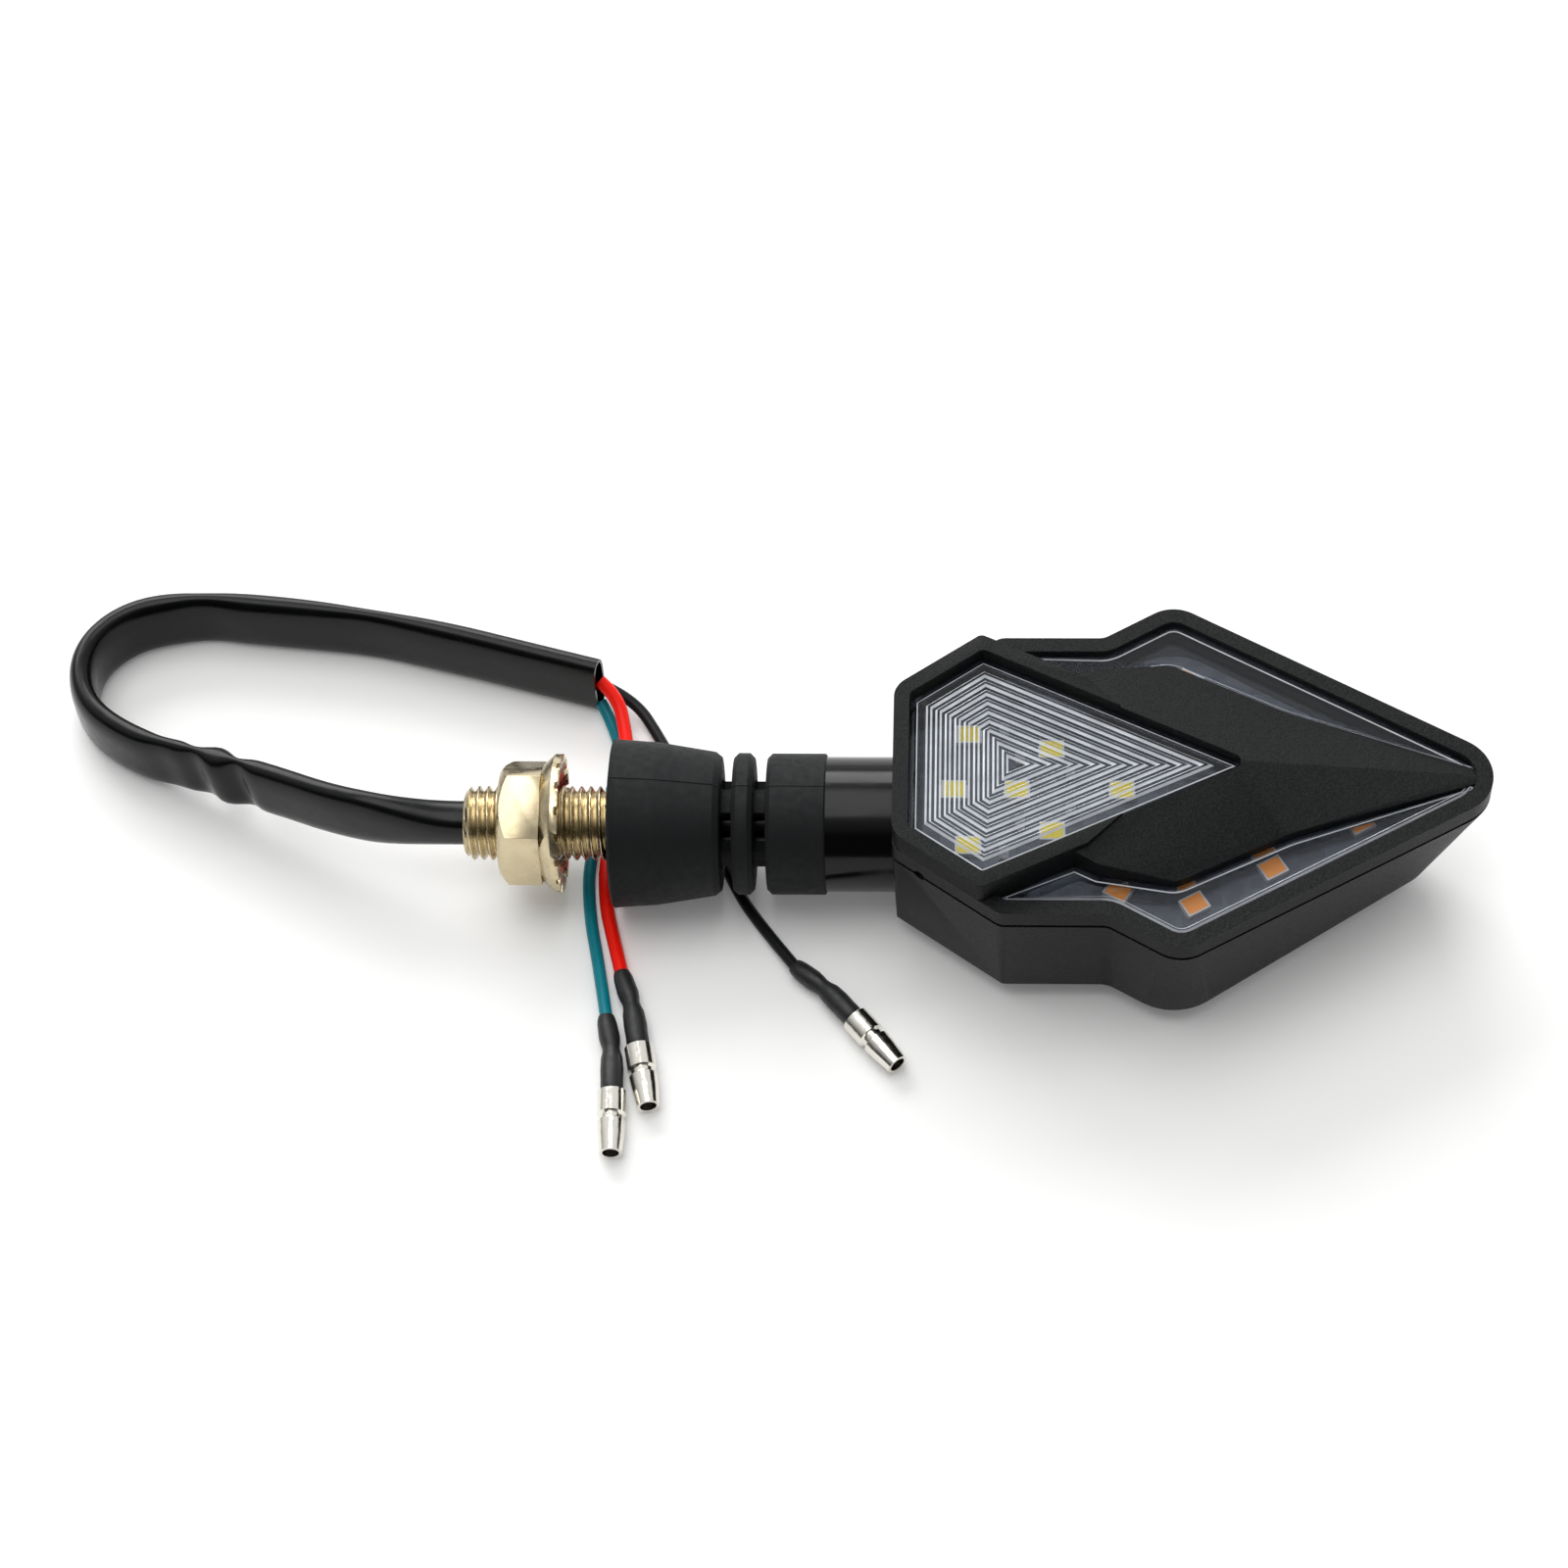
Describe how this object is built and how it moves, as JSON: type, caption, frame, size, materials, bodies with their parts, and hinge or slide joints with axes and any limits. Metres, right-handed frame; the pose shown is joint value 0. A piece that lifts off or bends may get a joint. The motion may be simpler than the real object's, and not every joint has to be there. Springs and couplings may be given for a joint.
{
  "type": "motorcycle turn signal indicator",
  "caption": "Motorcycle LED turn signal with a kite-shaped lamp head on a flexible rubber stalk, a hollow threaded stud with a lock nut, and wires ending in bullet terminals.",
  "frame": {"origin": "centre of the bounding box of the indicator without its cords, on the plane that its flat back and its boot lie on", "axes": "+X along the stem from the threaded stud to the lamp's nose, +Z out of the lamp's front lens, Y across the lamp head"},
  "size_m": [0.1938, 0.085, 0.0275],
  "materials": {
    "nickel_steel": "nickel plated, satin, slightly warm",
    "stalk_rubber": "matte black",
    "tube_gloss": "gloss black",
    "housing_abs": "fine textured matte black",
    "seal_rubber": "matte black",
    "clear_pc": "clear polycarbonate with moulded ridges",
    "board_white": "white solder mask",
    "led_white": "yellow phosphor in a white package",
    "led_amber": "amber phosphor in a white package",
    "ceramic_chip": "black chip with tinned ends",
    "sleeve_pvc": "soft satin black",
    "red_pvc": "satin red",
    "teal_pvc": "satin teal",
    "black_pvc": "satin black",
    "shrink_black": "satin black",
    "tinned_brass": "tinned, bright"
  },
  "bodies": {
    "mount_side": {"mounting_stud": "nickel_steel", "stalk_base": "stalk_rubber", "stalk_neck_inner": "stalk_rubber", "cable_core": "sleeve_pvc", "cable_sleeve": "sleeve_pvc", "red_wire": "red_pvc", "teal_wire": "teal_pvc", "black_wire": "black_pvc", "red_heat_shrink": "shrink_black", "teal_heat_shrink": "shrink_black", "black_heat_shrink": "shrink_black", "red_bullet_terminal": "tinned_brass", "teal_bullet_terminal": "tinned_brass", "black_bullet_terminal": "tinned_brass"},
    "lock_washer": {"lock_washer": "nickel_steel"},
    "lock_nut": {"lock_nut": "nickel_steel"},
    "stalk_disc": {"stalk_disc": "stalk_rubber", "stalk_neck_outer": "stalk_rubber"},
    "lamp_head": {"stalk_collar": "stalk_rubber", "arm_tube": "tube_gloss", "rear_housing": "housing_abs", "housing_seal": "seal_rubber", "front_bezel": "housing_abs", "drl_lens": "clear_pc", "upper_strip_lens": "clear_pc", "lower_strip_lens": "clear_pc", "led_board": "board_white", "white_leds": "led_white", "amber_leds": "led_amber", "resistors": "ceramic_chip", "head_harness": "sleeve_pvc", "red_board_lead": "red_pvc", "teal_board_lead": "teal_pvc", "black_board_lead": "black_pvc"}
  },
  "joints": [
    {"name": "neck_inner_bend", "type": "hinge", "parent": "mount_side", "child": "stalk_disc", "pos_m": [-0.03265, 0, 0.01135], "axis": [0, 0, 1], "range_deg": [-8, 8], "stiffness_Nm_per_rad": 2.5, "deforming": ["stalk_neck_inner"]},
    {"name": "neck_outer_bend", "type": "hinge", "parent": "stalk_disc", "child": "lamp_head", "pos_m": [-0.0282, 0, 0.01135], "axis": [0, 1, 0], "range_deg": [-8, 8], "stiffness_Nm_per_rad": 2.5, "deforming": ["stalk_neck_outer"]},
    {"name": "washer_slide", "type": "slide", "parent": "mount_side", "child": "lock_washer", "axis": [1, 0, 0], "range_m": [-0.0046, 0.0061]},
    {"name": "nut_spin", "type": "hinge", "parent": "lock_washer", "child": "lock_nut", "pos_m": [-0.0603, 0, 0.01135], "axis": [1, 0, 0], "range_deg": [-1296, 1728]}
  ],
  "couplings": [
    {"joint": "washer_slide", "follows": "nut_spin", "m_per_rad": 0.00019894}
  ]
}
